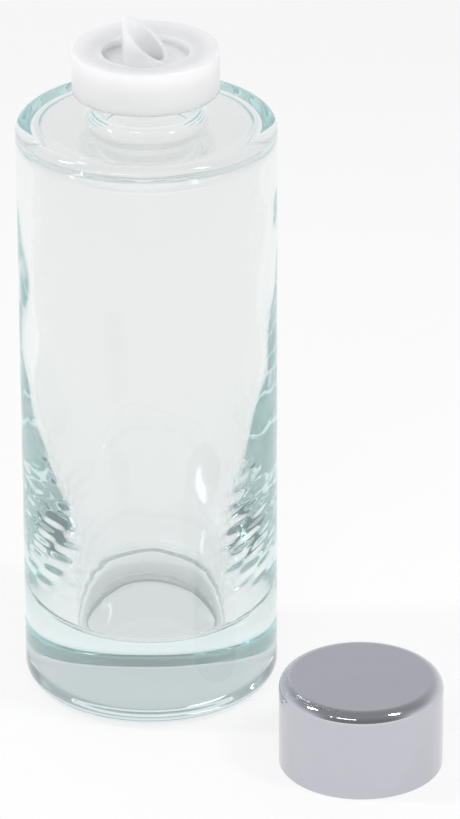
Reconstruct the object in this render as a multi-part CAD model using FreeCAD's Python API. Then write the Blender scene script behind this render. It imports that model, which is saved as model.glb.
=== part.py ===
# Table oil bottle: a heavy-based clear glass bottle, a push-in pourer with a cut spout, and a chrome cap that
# stands beside it, mouth down.
#
# Units are millimetres. The origin is the centre of the bottle's foot, on the surface it stands on, and +Z
# runs up the bottle. Every piece is a solid of revolution, except for the pourer's spout, which is a tube cut
# by a slanting plane.

import FreeCAD, Part
import math
import os

UP = FreeCAD.Vector(0, 0, 1)
ORIGIN = FreeCAD.Vector(0, 0, 0)

# ---- Glass: outside ----
BODY_R = 27.5
HEEL_R = 4.4
FOOT_RING_R = 19.5  # inner radius of the ring it stands on
PUSH_UP_R = 16.5  # the flat hollow under the foot
PUSH_UP_H = 0.9
SHOULDER_EDGE_R = 2.5
SHOULDER_EDGE_Z = 128.5  # where the straight side ends
SHOULDER_SLOPE = math.radians(2)
NECK_R = 11.4
NECK_ROOT_R = 2.6
NECK_TOP_Z = 143.0
LIP_R = 1.0
BEAD_R = 13.6  # the ring around the neck that the pourer's skirt fits over
BEAD_Z = 139.4
BEAD_UNDERCUT = 1.2

# ---- Glass: inside ----
BORE_R = 9.0
FLOOR_Z = 17.2
FLOOR_R = 17.1
FLOOR_CORNER_R = 2.4
FLARE_R = 23.8
FLARE_Z = 78.0  # the wall thickens below this height
CHAMBER_R = 24.4
CHAMBER_STRAIGHT_Z = 114.0  # the wall has a slight draft below this height
CHAMBER_TOP_Z = 128.2
CHAMBER_CORNER_R = 3.5
BORE_ROOT_R = 3.5

# ---- Pourer ----
COLLAR_R = 15.45
COLLAR_Z = 137.8
COLLAR_H = 9.1
COLLAR_EDGE_R = 0.5
LAND_R = 14.3  # the flat rim's inner radius, where the dished top begins
DISH_DROP = 0.7
WELL_R = 9.25
WELL_FLOOR_Z = 144.3
WELL_CORNER_R = 0.5
SEAT_GAP = 0.1  # above the bottle's lip
SKIRT_GAP = 0.1  # around the neck's bead
SKIRT_LEAD_IN = 0.4
PLUG_R = 8.8
PLUG_WALL = 1.1
PLUG_H = 5.2
PLUG_LEAD_IN = 0.5
RIB_R = 8.95
RIB_HALF_H = 0.4
RIB_DEPTHS = (1.9, 3.5)  # below the underside of the top
CORE_IN_R = 10.3  # the moulding's coring groove
CORE_OUT_R = 12.7
CORE_H = 2.1
SPOUT_R = 4.8
SPOUT_WALL = 1.1
SPOUT_TIP_ABOVE_RIM = 6.15
SPOUT_FALL = 4.4  # from the tip to the cut's middle, over the spout's radius
SPOUT_HEADING = math.radians(160)  # the tip's direction, from +X towards +Y
SPOUT_EDGE_R = 0.3  # easing of the cut edge, inside and out

# ---- Cap ----
CAP_X = 44.2
CAP_Y = -41.0
CAP_R = 17.45
CAP_H = 20.0
CAP_EDGE_R = 2.6
SHELL_WALL = 0.7
SHELL_LIP_R = 0.3
LINER_GAP = 0.02
LINER_BORE_R = 15.55
LINER_MOUTH_LEAD_IN = 0.5
LINER_RECESS = 0.3  # of the liner's mouth above the shell's lip
SEAL_Z = 9.2
SEAL_H = 0.8
SEAL_IN_R = 12.6
SEAL_OUT_R = 15.1
SEAL_GAP = 0.05  # around the seal, in the liner's recess
POCKET_R = 12.8  # room for the spout
LINER_CEILING = 1.2


class Outline:
    """A closed outline in the half plane through the Z axis, turned into a solid of revolution."""

    def __init__(self, r, z):
        self.edges = []
        self.start = self.here = (r, z)

    def line(self, r, z):
        if math.hypot(r - self.here[0], z - self.here[1]) > 1e-7:
            self.edges.append(Part.LineSegment(point(*self.here), point(r, z)).toShape())
            self.here = (r, z)
        return self

    def arc(self, centre_r, centre_z, radius, start_deg, end_deg):
        """A line to the arc's start, then the arc."""
        at = [math.radians(d) for d in (start_deg, (start_deg + end_deg) / 2, end_deg)]
        spots = [(centre_r + radius * math.cos(a), centre_z + radius * math.sin(a)) for a in at]
        self.line(*spots[0])
        self.edges.append(Part.Arc(*[point(*s) for s in spots]).toShape())
        self.here = spots[-1]
        return self

    def curve(self, *poles):
        """A Bezier curve from here, through no pole but the last."""
        bezier = Part.BezierCurve()
        bezier.setPoles([point(*p) for p in (self.here, *poles)])
        self.edges.append(bezier.toShape())
        self.here = poles[-1]
        return self

    def solid(self):
        self.line(*self.start)
        face = Part.Face(Part.Wire(Part.__sortEdges__(self.edges)))
        return face.revolve(ORIGIN, UP, 360)


def point(r, z):
    return FreeCAD.Vector(r, 0, z)


def neck_root():
    """Centre of the fillet between the sloping shoulder and the neck."""
    cone_r = BODY_R - SHOULDER_EDGE_R + SHOULDER_EDGE_R * math.sin(SHOULDER_SLOPE)
    cone_z = SHOULDER_EDGE_Z + SHOULDER_EDGE_R * math.cos(SHOULDER_SLOPE)
    r = NECK_R + NECK_ROOT_R
    z = cone_z + (cone_r - r) * math.tan(SHOULDER_SLOPE) + NECK_ROOT_R / math.cos(SHOULDER_SLOPE)
    return r, z


def glass_bottle():
    slope = math.degrees(SHOULDER_SLOPE)
    outline = Outline(0, FLOOR_Z)
    outline.line(0, PUSH_UP_H)
    outline.line(PUSH_UP_R, PUSH_UP_H)
    outline.line(FOOT_RING_R, 0)
    outline.arc(BODY_R - HEEL_R, HEEL_R, HEEL_R, -90, 0)
    outline.arc(BODY_R - SHOULDER_EDGE_R, SHOULDER_EDGE_Z, SHOULDER_EDGE_R, 0, 90 - slope)
    outline.arc(*neck_root(), NECK_ROOT_R, -90 - slope, -180)
    outline.line(NECK_R, BEAD_Z - BEAD_UNDERCUT)
    outline.line(BEAD_R, BEAD_Z)
    outline.arc(BEAD_R - LIP_R, NECK_TOP_Z - LIP_R, LIP_R, 0, 90)
    outline.arc(BORE_R + LIP_R, NECK_TOP_Z - LIP_R, LIP_R, 90, 180)
    outline.arc(BORE_R + BORE_ROOT_R, CHAMBER_TOP_Z + BORE_ROOT_R, BORE_ROOT_R, 180, 270)
    corner_r = CHAMBER_R - CHAMBER_CORNER_R
    outline.arc(corner_r, CHAMBER_TOP_Z - CHAMBER_CORNER_R, CHAMBER_CORNER_R, 90, 0)
    outline.line(CHAMBER_R, CHAMBER_STRAIGHT_Z)
    outline.line(FLARE_R, FLARE_Z)
    wall_foot_z = FLOOR_Z + FLOOR_CORNER_R
    flare = FLARE_Z - wall_foot_z
    outline.curve(
        (FLARE_R - 0.3, FLARE_Z - 0.38 * flare),
        (FLOOR_R + 1.2, wall_foot_z + 0.30 * flare),
        (FLOOR_R, wall_foot_z),
    )
    outline.arc(FLOOR_R - FLOOR_CORNER_R, wall_foot_z, FLOOR_CORNER_R, 0, -90)
    return outline.solid()


def spout():
    """An upright tube cut by a plane that falls away from the tip, with its cut edge eased."""
    base_z = WELL_FLOOR_Z - 0.3
    cut_z = COLLAR_Z + COLLAR_H + SPOUT_TIP_ABOVE_RIM - SPOUT_FALL
    length = 30
    inside_r = SPOUT_R - SPOUT_WALL
    tube = Part.makeCylinder(SPOUT_R, length, point(0, base_z), UP)
    tube = tube.cut(Part.makeCylinder(inside_r, length, point(0, base_z), UP))
    waste = Part.makeBox(4 * length, 4 * length, length, FreeCAD.Vector(-2 * length, -2 * length, 0))
    waste.rotate(ORIGIN, FreeCAD.Vector(0, 1, 0), -math.degrees(math.atan(SPOUT_FALL / SPOUT_R)))
    waste.rotate(ORIGIN, UP, math.degrees(SPOUT_HEADING))
    waste.translate(FreeCAD.Vector(0, 0, cut_z))
    cut = tube.cut(waste)
    rims = [edge for edge in cut.Edges if edge.BoundBox.ZMin > base_z + 1]
    return cut.makeFillet(SPOUT_EDGE_R, rims)


def pourer():
    rim_z = COLLAR_Z + COLLAR_H
    seat_z = NECK_TOP_Z + SEAT_GAP
    skirt_r = BEAD_R + SKIRT_GAP
    plug_foot_z = seat_z - PLUG_H
    channel_r = SPOUT_R - SPOUT_WALL
    outline = Outline(skirt_r + SKIRT_LEAD_IN, COLLAR_Z)
    outline.line(COLLAR_R, COLLAR_Z)
    outline.arc(COLLAR_R - COLLAR_EDGE_R, rim_z - COLLAR_EDGE_R, COLLAR_EDGE_R, 0, 90)
    outline.line(LAND_R, rim_z)
    outline.line(WELL_R, rim_z - DISH_DROP)
    outline.arc(WELL_R - WELL_CORNER_R, WELL_FLOOR_Z + WELL_CORNER_R, WELL_CORNER_R, 0, -90)
    outline.line(channel_r, WELL_FLOOR_Z)
    outline.line(channel_r, seat_z)
    outline.line(PLUG_R - PLUG_WALL, seat_z)
    outline.line(PLUG_R - PLUG_WALL, plug_foot_z)
    outline.line(PLUG_R - PLUG_LEAD_IN / 2, plug_foot_z)
    outline.line(PLUG_R, plug_foot_z + PLUG_LEAD_IN)
    bulge = RIB_R - PLUG_R
    rib_r = (RIB_HALF_H**2 + bulge**2) / (2 * bulge)
    rib_deg = math.degrees(math.asin(RIB_HALF_H / rib_r))
    for depth in reversed(RIB_DEPTHS):
        outline.arc(RIB_R - rib_r, seat_z - depth, rib_r, -rib_deg, rib_deg)
    outline.line(PLUG_R, seat_z)
    outline.line(CORE_IN_R, seat_z)
    core_half_w = (CORE_OUT_R - CORE_IN_R) / 2
    outline.arc(CORE_IN_R + core_half_w, seat_z + CORE_H - core_half_w, core_half_w, 180, 0)
    outline.line(CORE_OUT_R, seat_z)
    outline.line(skirt_r, seat_z)
    outline.line(skirt_r, COLLAR_Z + SKIRT_LEAD_IN)
    return outline.solid().fuse(spout()).removeSplitter()


def at_cap(shape):
    shape.translate(FreeCAD.Vector(CAP_X, CAP_Y, 0))
    return shape


def cap_shell():
    inside_edge_r = CAP_EDGE_R - SHELL_WALL
    outline = Outline(0, CAP_H)
    outline.arc(CAP_R - CAP_EDGE_R, CAP_H - CAP_EDGE_R, CAP_EDGE_R, 90, 0)
    outline.arc(CAP_R - SHELL_LIP_R, SHELL_LIP_R, SHELL_LIP_R, 0, -90)
    outline.line(CAP_R - SHELL_WALL, 0)
    outline.arc(CAP_R - CAP_EDGE_R, CAP_H - CAP_EDGE_R, inside_edge_r, 0, 90)
    outline.line(0, CAP_H - SHELL_WALL)
    return at_cap(outline.solid())


def cap_liner():
    outside_r = CAP_R - SHELL_WALL - LINER_GAP
    top_z = CAP_H - SHELL_WALL - LINER_GAP
    edge_r = CAP_EDGE_R - SHELL_WALL - LINER_GAP
    ledge_z = SEAL_Z + SEAL_H
    outline = Outline(0, top_z)
    outline.arc(outside_r - edge_r, top_z - edge_r, edge_r, 90, 0)
    outline.line(outside_r, LINER_RECESS)
    outline.line(LINER_BORE_R + LINER_MOUTH_LEAD_IN, LINER_RECESS)
    outline.line(LINER_BORE_R, LINER_RECESS + LINER_MOUTH_LEAD_IN)
    outline.line(LINER_BORE_R, SEAL_Z)
    outline.line(SEAL_OUT_R + SEAL_GAP, SEAL_Z)
    outline.line(SEAL_OUT_R + SEAL_GAP, ledge_z)
    outline.line(POCKET_R, ledge_z)
    outline.line(POCKET_R, top_z - LINER_CEILING)
    outline.line(0, top_z - LINER_CEILING)
    return at_cap(outline.solid())


def cap_seal():
    seal = Part.makeCylinder(SEAL_OUT_R, SEAL_H, point(0, SEAL_Z), UP)
    seal = seal.cut(Part.makeCylinder(SEAL_IN_R, SEAL_H, point(0, SEAL_Z), UP))
    return at_cap(seal)


def main():
    os.makedirs("parts", exist_ok=True)
    for make in (glass_bottle, pourer, cap_shell, cap_liner, cap_seal):
        shape = make()
        shape.exportStep(f"parts/{make.__name__}.step")
        box = shape.BoundBox
        print(
            f"{make.__name__}: {len(shape.Solids)} solid, valid {shape.isValid()}, "
            f"volume {shape.Volume / 1000:.2f} cm3, z {box.ZMin:.2f} to {box.ZMax:.2f}"
        )


main()
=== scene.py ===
import math

import bmesh
import bpy
from mathutils import Matrix, Vector


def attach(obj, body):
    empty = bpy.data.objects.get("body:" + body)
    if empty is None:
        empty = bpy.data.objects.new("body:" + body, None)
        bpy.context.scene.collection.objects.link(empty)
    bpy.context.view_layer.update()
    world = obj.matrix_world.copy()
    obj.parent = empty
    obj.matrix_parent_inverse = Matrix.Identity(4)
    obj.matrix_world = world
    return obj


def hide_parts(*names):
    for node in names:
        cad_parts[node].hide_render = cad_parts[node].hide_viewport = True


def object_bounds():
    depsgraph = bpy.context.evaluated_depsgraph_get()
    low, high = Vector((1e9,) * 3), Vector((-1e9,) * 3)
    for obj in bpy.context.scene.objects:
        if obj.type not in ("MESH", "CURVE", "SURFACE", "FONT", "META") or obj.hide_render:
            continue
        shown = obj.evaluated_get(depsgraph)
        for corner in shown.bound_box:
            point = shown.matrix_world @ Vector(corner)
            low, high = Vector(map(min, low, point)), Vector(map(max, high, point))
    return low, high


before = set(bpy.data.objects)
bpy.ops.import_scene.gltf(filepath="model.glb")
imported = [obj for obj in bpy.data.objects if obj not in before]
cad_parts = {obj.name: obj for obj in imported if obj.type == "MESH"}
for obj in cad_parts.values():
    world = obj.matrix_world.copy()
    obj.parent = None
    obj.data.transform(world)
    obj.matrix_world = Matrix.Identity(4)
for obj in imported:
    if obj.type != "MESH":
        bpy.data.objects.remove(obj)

cad_low, cad_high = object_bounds()
MM = 0.001
TINY = 1e-7

# ---- Camera ----
CAMERA_TARGET_Z = 63.04 * MM
CAMERA_DISTANCE = 1215.15 * MM
CAMERA_PITCH = 25.989  # degrees down
CAMERA_YAW = 0.816  # degrees to the right
CAMERA_ROLL = -0.592
CAMERA_LENS = 249.28  # mm, on a sensor 36 mm along its longer side
SENSOR = 36.0


def make_camera():
    pitch, yaw, roll = (math.radians(a) for a in (CAMERA_PITCH, CAMERA_YAW, CAMERA_ROLL))
    ahead = Vector((0, math.cos(pitch), -math.sin(pitch)))
    place = Vector((0, 0, CAMERA_TARGET_Z)) - ahead * CAMERA_DISTANCE
    right = Vector((1, 0, 0))
    up = right.cross(ahead)
    look = ahead * math.cos(yaw) + right * math.sin(yaw)
    side = right * math.cos(yaw) - ahead * math.sin(yaw)
    right = side * math.cos(roll) + up * math.sin(roll)
    up = up * math.cos(roll) - side * math.sin(roll)
    data = bpy.data.cameras.new("camera")
    data.sensor_width = SENSOR
    data.sensor_height = SENSOR
    data.sensor_fit = "AUTO"
    data.lens = CAMERA_LENS
    data.clip_start = 0.01
    camera = bpy.data.objects.new("camera", data)
    bpy.context.scene.collection.objects.link(camera)
    axes = Matrix((right, up, -look)).transposed().to_4x4()
    camera.matrix_world = Matrix.Translation(place) @ axes
    bpy.context.scene.camera = camera


# ---- Outlines and lathe work ----


class Outline:
    """A half outline, r and z in metres, as a list of points with evenly fine curves."""

    def __init__(self, r, z):
        self.points = [(r, z)]

    def line(self, r, z, steps=1):
        r0, z0 = self.points[-1]
        for i in range(1, steps + 1):
            self.points.append((r0 + (r - r0) * i / steps, z0 + (z - z0) * i / steps))

    def arc(self, centre_r, centre_z, radius, start_deg, end_deg, steps=12):
        for i in range(steps + 1):
            a = math.radians(start_deg + (end_deg - start_deg) * i / steps)
            spot = (centre_r + radius * math.cos(a), centre_z + radius * math.sin(a))
            if math.dist(spot, self.points[-1]) > TINY:
                self.points.append(spot)

    def bezier(self, pole_1, pole_2, end, steps=40):
        start = self.points[-1]
        for i in range(1, steps + 1):
            t = i / steps
            weights = ((1 - t) ** 3, 3 * (1 - t) ** 2 * t, 3 * (1 - t) * t**2, t**3)
            poles = (start, pole_1, pole_2, end)
            self.points.append(tuple(sum(w * p[k] for w, p in zip(weights, poles)) for k in (0, 1)))


def lathe(name, points, segments, shape):
    """Turns an outline whose ends lie on the axis into a smooth mesh object. shape moves each point."""
    mesh = bpy.data.meshes.new(name)
    bm = bmesh.new()
    rings = []
    for r, z in points:
        if r < TINY:
            rings.append([bm.verts.new((0, 0, z))])
            continue
        ring = []
        for k in range(segments):
            a = 2 * math.pi * k / segments
            rr = shape(r, z, a)
            ring.append(bm.verts.new((rr * math.cos(a), rr * math.sin(a), z)))
        rings.append(ring)
    for low, high in zip(rings, rings[1:]):
        for k in range(segments):
            m = (k + 1) % segments
            if len(low) == 1:
                bm.faces.new((low[0], high[m], high[k]))
            elif len(high) == 1:
                bm.faces.new((low[k], low[m], high[0]))
            else:
                bm.faces.new((low[k], low[m], high[m], high[k]))
    bmesh.ops.recalc_face_normals(bm, faces=bm.faces)
    bm.to_mesh(mesh)
    bm.free()
    mesh.polygons.foreach_set("use_smooth", [True] * len(mesh.polygons))
    piece = bpy.data.objects.new(name, mesh)
    bpy.context.scene.collection.objects.link(piece)
    return piece


# ---- Glass bottle ----
BODY_R = 27.5 * MM
HEEL_R = 4.4 * MM
FOOT_RING_R = 19.5 * MM  # inner radius of the ring it stands on
PUSH_UP_R = 16.5 * MM  # the flat hollow under the foot
PUSH_UP_H = 0.9 * MM
SHOULDER_EDGE_R = 2.5 * MM
SHOULDER_EDGE_Z = 128.5 * MM
SHOULDER_SLOPE = 2  # degrees
NECK_R = 11.4 * MM
NECK_ROOT_R = 2.6 * MM
NECK_TOP_Z = 143.0 * MM
LIP_R = 1.0 * MM
BEAD_R = 13.6 * MM  # the ring around the neck under the pourer's skirt
BEAD_Z = 139.4 * MM
BEAD_UNDERCUT = 1.2 * MM
BORE_R = 9.0 * MM
FLOOR_Z = 17.2 * MM
FLOOR_R = 17.1 * MM
FLOOR_CORNER_R = 2.4 * MM
CHAMBER_R = 24.4 * MM
CHAMBER_STRAIGHT_Z = 114.0 * MM  # the wall has a slight draft below this height
FLARE_R = 23.8 * MM
FLARE_Z = 78.0 * MM  # the wall thickens below this height
CHAMBER_TOP_Z = 128.2 * MM
CHAMBER_CORNER_R = 3.5 * MM
BORE_ROOT_R = 3.5 * MM
GLASS_SEGMENTS = 288
GLASS_GREY = (0.93, 0.935, 0.93, 1)
GLASS_TEAL = (0.22, 0.82, 0.79, 1)  # what a long way through the glass leaves
GLASS_DENSITY = 3.5  # per metre
GLASS_IOR = 1.51
GLASS_SMUDGE = 0.0015  # roughness of the smudged patches
GLASS_RIPPLE = 0.07 * MM
FOOT_WEAR = 0.5  # roughness of the ring that the bottle stands on
FOOT_WEAR_Z = (0.3 * MM, 0.4 * MM)  # between these heights the wear ends

# Waves of the walls: height in mm, number around, radians per metre upwards, phase.
OUTER_WAVES = ((0.03, 3, 420, 0.3), (0.02, -5, 290, 1.9))
OUTER_SHRINK = 0.05  # mm, so that the waves stay inside BODY_R
INNER_WAVES = ((0.10, 3, 40, 1.0), (0.08, 5, -65, 2.2), (0.05, 9, 190, 1.3), (0.03, -14, 260, 0.4))
FOOT_WAVES = ((0.065, 5, 1250, 0.8), (0.035, -11, 1900, 0))  # fine rings, strongest at the two sides
OUTER_CALM = (6 * MM, 124 * MM)  # the outside is true below and above these heights
OUTER_FADE = 8 * MM
INNER_CALM = 36 * MM  # the large waves begin above this height
INNER_FADE = 20 * MM
FOOT_WAVES_Z = 37 * MM
FOOT_WAVES_SPREAD = 12 * MM
FOOT_CALM = 22 * MM
FOOT_FADE = 3 * MM


def glass_outline():
    """The outside from the axis under the foot up to the lip. Then the inside down to the chamber's floor."""
    slope = math.radians(SHOULDER_SLOPE)
    cone_r = BODY_R - SHOULDER_EDGE_R + SHOULDER_EDGE_R * math.sin(slope)
    cone_z = SHOULDER_EDGE_Z + SHOULDER_EDGE_R * math.cos(slope)
    root_r = NECK_R + NECK_ROOT_R
    root_z = cone_z + (cone_r - root_r) * math.tan(slope) + NECK_ROOT_R / math.cos(slope)
    line = Outline(0, PUSH_UP_H)
    line.line(PUSH_UP_R, PUSH_UP_H, 8)
    line.line(FOOT_RING_R, 0, 4)
    line.arc(BODY_R - HEEL_R, HEEL_R, HEEL_R, -90, 0, 24)
    line.line(BODY_R, SHOULDER_EDGE_Z, 24)
    line.arc(BODY_R - SHOULDER_EDGE_R, SHOULDER_EDGE_Z, SHOULDER_EDGE_R, 0, 90 - SHOULDER_SLOPE, 20)
    line.arc(root_r, root_z, NECK_ROOT_R, -90 - SHOULDER_SLOPE, -180, 16)
    line.line(NECK_R, BEAD_Z - BEAD_UNDERCUT, 4)
    line.line(BEAD_R, BEAD_Z)
    line.arc(BEAD_R - LIP_R, NECK_TOP_Z - LIP_R, LIP_R, 0, 90, 8)
    outside = len(line.points)
    line.arc(BORE_R + LIP_R, NECK_TOP_Z - LIP_R, LIP_R, 90, 180, 8)
    line.arc(BORE_R + BORE_ROOT_R, CHAMBER_TOP_Z + BORE_ROOT_R, BORE_ROOT_R, 180, 270, 12)
    line.arc(CHAMBER_R - CHAMBER_CORNER_R, CHAMBER_TOP_Z - CHAMBER_CORNER_R, CHAMBER_CORNER_R, 90, 0, 24)
    line.line(CHAMBER_R, CHAMBER_STRAIGHT_Z, 10)
    line.line(FLARE_R, FLARE_Z, 40)
    wall_foot_z = FLOOR_Z + FLOOR_CORNER_R
    flare = FLARE_Z - wall_foot_z
    line.bezier(
        (FLARE_R - 0.3 * MM, FLARE_Z - 0.38 * flare),
        (FLOOR_R + 1.2 * MM, wall_foot_z + 0.30 * flare),
        (FLOOR_R, wall_foot_z),
        160,
    )
    line.arc(FLOOR_R - FLOOR_CORNER_R, wall_foot_z, FLOOR_CORNER_R, 0, -90, 14)
    line.line(0, FLOOR_Z, 8)
    return line.points, outside


def waves(table, z, a):
    return sum(height * math.sin(around * a + upward * z + phase) for height, around, upward, phase in table)


def share(value, full):
    return min(1, max(0, value / full))


def make_glass():
    points, outside = glass_outline()
    inside = set(points[outside:])

    def shape(r, z, a):
        """Pressed and blown glass: both walls wander a little, the inner one more so where it thickens."""
        if (r, z) not in inside:
            upright = share(z - OUTER_CALM[0], OUTER_FADE) * share(OUTER_CALM[1] - z, OUTER_FADE)
            return r + (waves(OUTER_WAVES, z, a) - OUTER_SHRINK) * MM * upright
        if z > CHAMBER_TOP_Z:
            return r
        sway = waves(INNER_WAVES, z, a) * share(z - INNER_CALM, INNER_FADE)
        away = (z - FOOT_WAVES_Z) / FOOT_WAVES_SPREAD
        near_foot = math.exp(-(away**2)) * share(z - FOOT_CALM, FOOT_FADE)
        sway += waves(FOOT_WAVES, z, a) * near_foot * math.cos(a) ** 4
        return r + sway * MM

    piece = lathe("bottle_glass", points, GLASS_SEGMENTS, shape)
    piece.data.materials.append(glass_material())
    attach(piece, "bottle")
    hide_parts("glass_bottle")


# ---- Materials ----


def new_material(name):
    material = bpy.data.materials.new(name)
    material.use_nodes = True
    nodes = material.node_tree.nodes
    shader = next(n for n in nodes if n.type == "BSDF_PRINCIPLED")
    return material, nodes, material.node_tree.links, shader


def noise(nodes, links, scale, detail=3.0, roughness=0.5, stretch=(1, 1, 1)):
    place = nodes.new("ShaderNodeTexCoord")
    mapping = nodes.new("ShaderNodeMapping")
    mapping.inputs["Scale"].default_value = stretch
    texture = nodes.new("ShaderNodeTexNoise")
    texture.inputs["Scale"].default_value = scale
    texture.inputs["Detail"].default_value = detail
    texture.inputs["Roughness"].default_value = roughness
    links.new(place.outputs["Object"], mapping.inputs["Vector"])
    links.new(mapping.outputs["Vector"], texture.inputs["Vector"])
    return texture.outputs["Fac"]


def place_in(nodes, links, axis, space="Object"):
    place = nodes.new("ShaderNodeTexCoord")
    split = nodes.new("ShaderNodeSeparateXYZ")
    links.new(place.outputs[space], split.inputs["Vector"])
    return split.outputs[axis]


def between(nodes, links, value, low, high, from_low=0.3, from_high=0.7):
    ramp = nodes.new("ShaderNodeMapRange")
    ramp.inputs["From Min"].default_value = from_low
    ramp.inputs["From Max"].default_value = from_high
    ramp.inputs["To Min"].default_value = low
    ramp.inputs["To Max"].default_value = high
    links.new(value, ramp.inputs["Value"])
    return ramp.outputs["Result"]


def bump(nodes, links, height, distance, strength=1.0):
    node = nodes.new("ShaderNodeBump")
    node.inputs["Strength"].default_value = strength
    node.inputs["Distance"].default_value = distance
    links.new(height, node.inputs["Height"])
    return node.outputs["Normal"]


def tint(nodes, links, value, dark, light, from_low=0.3, from_high=0.7):
    ramp = nodes.new("ShaderNodeValToRGB")
    ramp.color_ramp.elements[0].position = from_low
    ramp.color_ramp.elements[0].color = (*dark, 1)
    ramp.color_ramp.elements[1].position = from_high
    ramp.color_ramp.elements[1].color = (*light, 1)
    links.new(value, ramp.inputs["Fac"])
    return ramp.outputs["Color"]


def glass_material():
    material, nodes, links, shader = new_material("clear_glass")
    shader.inputs["Base Color"].default_value = GLASS_GREY
    shader.inputs["Transmission Weight"].default_value = 1
    shader.inputs["IOR"].default_value = GLASS_IOR
    smudge = between(nodes, links, noise(nodes, links, 60, 4, 0.6), 0, GLASS_SMUDGE, 0.45, 0.75)
    worn = between(nodes, links, place_in(nodes, links, "Z"), FOOT_WEAR, 0, *FOOT_WEAR_Z)
    roughness = nodes.new("ShaderNodeMath")
    links.new(smudge, roughness.inputs[0])
    links.new(worn, roughness.inputs[1])
    links.new(roughness.outputs["Value"], shader.inputs["Roughness"])
    ripple = noise(nodes, links, 55, 1.5, 0.5, (1, 1, 0.35))
    links.new(bump(nodes, links, ripple, GLASS_RIPPLE), shader.inputs["Normal"])
    volume = nodes.new("ShaderNodeVolumeAbsorption")
    volume.inputs["Color"].default_value = GLASS_TEAL
    volume.inputs["Density"].default_value = GLASS_DENSITY
    output = next(n for n in nodes if n.type == "OUTPUT_MATERIAL")
    links.new(volume.outputs["Volume"], output.inputs["Volume"])
    return material


PLASTIC_DEPTH = 3.5 * MM  # how far light spreads inside the pourer's plastic


def pourer_material():
    material, nodes, links, shader = new_material("translucent_white_plastic")
    mottle = noise(nodes, links, 220, 3)
    colour = tint(nodes, links, mottle, (0.93, 0.94, 0.935), (0.96, 0.968, 0.965))
    links.new(colour, shader.inputs["Base Color"])
    links.new(between(nodes, links, mottle, 0.36, 0.44), shader.inputs["Roughness"])
    shader.inputs["Subsurface Weight"].default_value = 1
    shader.inputs["Subsurface Radius"].default_value = (1, 1, 1)
    shader.inputs["Subsurface Scale"].default_value = PLASTIC_DEPTH
    grain = noise(nodes, links, 1800, 2)
    links.new(bump(nodes, links, grain, 0.008 * MM), shader.inputs["Normal"])
    return material


def chrome_material():
    material, nodes, links, shader = new_material("chrome_plate")
    shader.inputs["Metallic"].default_value = 1
    haze = noise(nodes, links, 120, 4, 0.6)
    colour = tint(nodes, links, haze, (0.55, 0.55, 0.60), (0.565, 0.565, 0.615))
    links.new(colour, shader.inputs["Base Color"])
    links.new(between(nodes, links, haze, 0.05, 0.09), shader.inputs["Roughness"])
    dimple = noise(nodes, links, 180, 2)
    links.new(bump(nodes, links, dimple, 0.012 * MM), shader.inputs["Normal"])
    return material


def liner_material():
    material, nodes, links, shader = new_material("white_liner_plastic")
    mottle = noise(nodes, links, 150, 3)
    colour = tint(nodes, links, mottle, (0.78, 0.78, 0.75), (0.83, 0.83, 0.81))
    links.new(colour, shader.inputs["Base Color"])
    links.new(between(nodes, links, mottle, 0.32, 0.42), shader.inputs["Roughness"])
    grain = noise(nodes, links, 1500, 2)
    links.new(bump(nodes, links, grain, 0.01 * MM), shader.inputs["Normal"])
    return material


def seal_material():
    material, nodes, links, shader = new_material("seal_foam")
    cells = nodes.new("ShaderNodeTexVoronoi")
    cells.inputs["Scale"].default_value = 2600
    place = nodes.new("ShaderNodeTexCoord")
    links.new(place.outputs["Object"], cells.inputs["Vector"])
    depth = cells.outputs["Distance"]
    # Painted shade: the colour follows the cells' depth, so the pits are painted darker and the rims lighter.
    colour = tint(nodes, links, depth, (0.70, 0.70, 0.66), (0.80, 0.80, 0.77), 0.1, 0.6)
    links.new(colour, shader.inputs["Base Color"])
    shader.inputs["Roughness"].default_value = 0.8
    links.new(bump(nodes, links, depth, 0.05 * MM, 0.8), shader.inputs["Normal"])
    return material


def dress(node, material):
    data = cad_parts[node].data
    if not data.materials:
        data.materials.append(material)
    for i in range(len(data.materials)):
        data.materials[i] = material


# ---- Studio ----
FLOOR_SIZE = 6.0
FLOOR_GAP = 0.05 * MM  # under the lowest point
FLOOR_GREY = (0.25, 0.25, 0.25, 1)
FLOOR_GLOW = 0.76
FLOOR_GLOW_BEHIND = 0.71
BEHIND_Y = (0.03, 0.35)
FLOOR_GLOW_IN_FRONT = 2.0  # out of the camera's view; the upright surfaces mirror it
IN_FRONT_Y = (-0.60, -0.30)


def make_floor():
    mesh = bpy.data.meshes.new("floor")
    h = FLOOR_SIZE / 2
    mesh.from_pydata([(-h, -h, 0), (h, -h, 0), (h, h, 0), (-h, h, 0)], [], [(0, 1, 2, 3)])
    floor = bpy.data.objects.new("floor", mesh)
    floor.location.z = cad_low[2] - FLOOR_GAP
    bpy.context.scene.collection.objects.link(floor)
    material, nodes, links, shader = new_material("studio_white")
    shader.inputs["Base Color"].default_value = FLOOR_GREY
    shader.inputs["Roughness"].default_value = 0.9
    shader.inputs["Emission Color"].default_value = (1, 1, 1, 1)
    depth = place_in(nodes, links, "Y")
    behind = between(nodes, links, depth, 0, FLOOR_GLOW_BEHIND - FLOOR_GLOW, *BEHIND_Y)
    ahead = between(nodes, links, depth, FLOOR_GLOW_IN_FRONT, FLOOR_GLOW, *IN_FRONT_Y)
    glow = nodes.new("ShaderNodeMath")
    links.new(behind, glow.inputs[0])
    links.new(ahead, glow.inputs[1])
    links.new(glow.outputs["Value"], shader.inputs["Emission Strength"])
    mesh.materials.append(material)


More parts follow.
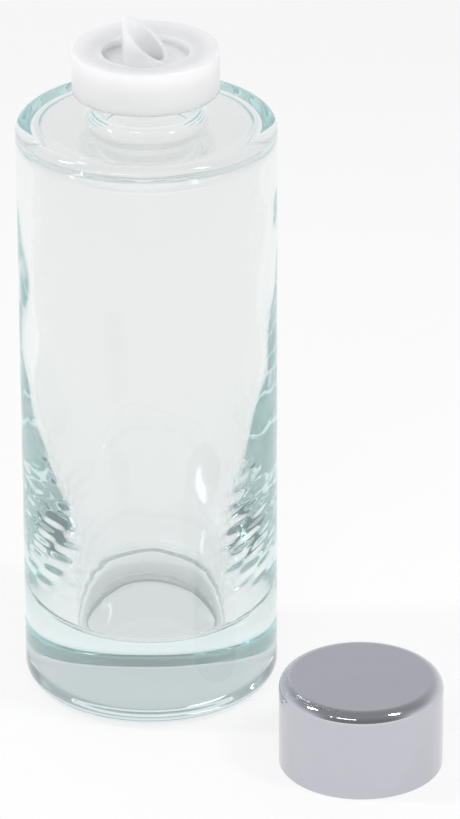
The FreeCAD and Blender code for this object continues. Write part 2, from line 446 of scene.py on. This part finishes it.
# The surroundings' grey against the height looked at, from the horizon (0) to straight up (1).
BACK_LEVELS = ((0, 0.95), (0.25, 0.85), (0.44, 0.71), (0.75, 0.45), (1, 0.36))
SIDE_LEVELS = ((0, 0.95), (0.20, 0.85), (0.45, 0.55), (0.70, 0.40), (1, 0.36))
FRONT_LEVELS = ((0, 0.60), (0.12, 0.34), (0.30, 0.25), (1, 0.36))
FRONT_TO_SIDE = (-0.8, -0.2)  # how far a direction turns towards the back, from -1 to 1
SIDE_TO_BACK = (0.1, 0.6)
BLUE_LIFT = 1.03


def make_world():
    world = bpy.data.worlds.new("studio")
    bpy.context.scene.world = world
    world.use_nodes = True
    nodes, links = world.node_tree.nodes, world.node_tree.links
    background = next(n for n in nodes if n.type == "BACKGROUND")
    height = place_in(nodes, links, "Z", "Generated")
    towards_back = place_in(nodes, links, "Y", "Generated")

    def levels(steps):
        ramp = nodes.new("ShaderNodeValToRGB")
        stops = ramp.color_ramp.elements
        for position, level in steps:
            ends = {0: stops[0], 1: stops[-1]}
            stop = ends[position] if position in ends else stops.new(position)
            stop.color = (level, level, level * BLUE_LIFT, 1)
        links.new(height, ramp.inputs["Fac"])
        return ramp.outputs["Color"]

    def blend(first, second, low, high):
        part = nodes.new("ShaderNodeMapRange")
        part.interpolation_type = "SMOOTHSTEP"
        part.inputs["From Min"].default_value = low
        part.inputs["From Max"].default_value = high
        links.new(towards_back, part.inputs["Value"])
        mix = nodes.new("ShaderNodeMix")
        mix.data_type = "RGBA"
        colour_sockets = [socket for socket in mix.inputs if socket.type == "RGBA"]
        links.new(part.outputs["Result"], mix.inputs["Factor"])
        links.new(first, colour_sockets[0])
        links.new(second, colour_sockets[1])
        return next(socket for socket in mix.outputs if socket.type == "RGBA")

    front_side = blend(levels(FRONT_LEVELS), levels(SIDE_LEVELS), *FRONT_TO_SIDE)
    everywhere = blend(front_side, levels(BACK_LEVELS), *SIDE_TO_BACK)
    links.new(everywhere, background.inputs["Color"])


LAMP_AIM_Z = 70 * MM
LAMPS = (  # name, azimuth, elevation, distance, width, height, radiance
    ("left_box", -88, 47, 1.4, 0.12, 0.34, 30),
    ("right_box", 118, 52, 1.4, 0.12, 0.34, 30),
    ("front_strip", -158, 40, 1.4, 0.55, 0.05, 11),
    ("front_spot", -135, 37, 1.4, 0.08, 0.05, 11),
    ("soft_fill", 175, 48, 1.5, 0.9, 0.6, 2.0),
    ("window_pane_0", -22, 35, 2.0, 0.45, 0.03, 5),
    ("window_pane_1", -22, 39, 2.0, 0.45, 0.03, 5),
    ("window_pane_2", -22, 43, 2.0, 0.45, 0.03, 5),
)
UNMIRRORED = ("soft_fill",)  # lights matt surfaces only, and makes no highlight


def add_lamp(name, azimuth, elevation, distance, width, height, radiance):
    """An oblong area light that faces the bottle. Azimuth runs from +Y towards +X."""
    az, el = math.radians(azimuth), math.radians(elevation)
    out = Vector((math.sin(az) * math.cos(el), math.cos(az) * math.cos(el), math.sin(el)))
    data = bpy.data.lights.new(name, "AREA")
    data.shape = "RECTANGLE"
    data.size = width
    data.size_y = height
    data.energy = radiance * math.pi * width * height
    lamp = bpy.data.objects.new(name, data)
    bpy.context.scene.collection.objects.link(lamp)
    lamp.rotation_euler = out.to_track_quat("Z", "Y").to_euler()
    lamp.location = Vector((0, 0, LAMP_AIM_Z)) + out * distance
    lamp.visible_glossy = name not in UNMIRRORED
    lamp.visible_transmission = name not in UNMIRRORED


make_camera()
make_glass()
dress("pourer", pourer_material())
dress("cap_shell", chrome_material())
dress("cap_liner", liner_material())
dress("cap_seal", seal_material())
make_floor()
make_world()
for lamp in LAMPS:
    add_lamp(*lamp)

GLASS_BOUNCES = 100  # light runs round inside the thick glass many times
scene = bpy.context.scene
scene.view_settings.view_transform = "Standard"
scene.cycles.use_denoising = True
scene.cycles.max_bounces = GLASS_BOUNCES
scene.cycles.transmission_bounces = GLASS_BOUNCES
scene.cycles.glossy_bounces = GLASS_BOUNCES
scene.cycles.sample_clamp_indirect = 4
